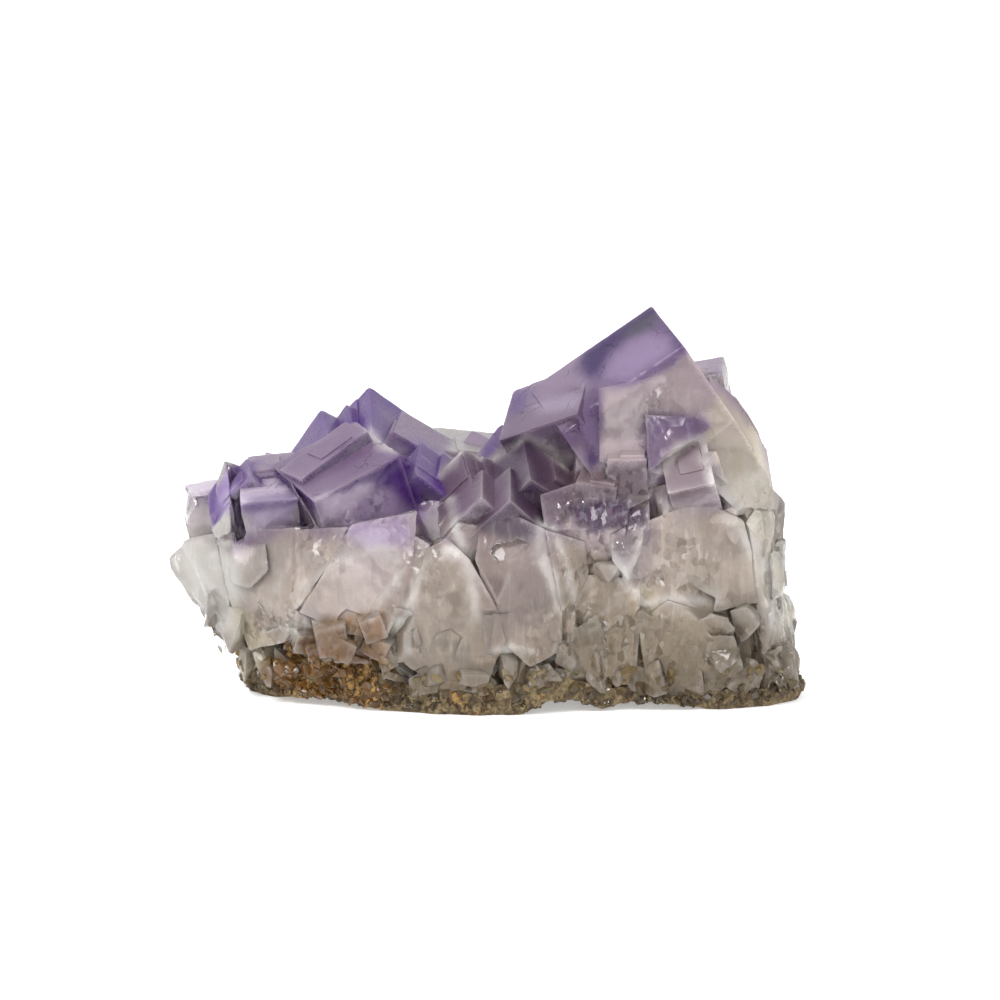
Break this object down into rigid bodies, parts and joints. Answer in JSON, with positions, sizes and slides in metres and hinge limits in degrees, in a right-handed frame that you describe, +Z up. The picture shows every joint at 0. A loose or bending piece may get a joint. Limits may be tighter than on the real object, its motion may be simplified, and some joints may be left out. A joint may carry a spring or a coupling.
{
  "type": "fluorite cluster",
  "caption": "Display mineral: intergrown purple and clear cubic crystals on a broken, cleaved crystal body, resting flat on a thin crust of rusty rock.",
  "frame": {"origin": "on the resting plane, under the middle of the cluster's bounds", "axes": "+Z up, +X along the longest side toward the tall peak, -Y toward the broken front"},
  "size_m": [0.0626, 0.0374, 0.0386],
  "materials": {
    "fluorite": "satin",
    "rock": "matte"
  },
  "bodies": {
    "root": {"fluorite_crystals": "fluorite", "rock_matrix": "rock"}
  },
  "joints": []
}
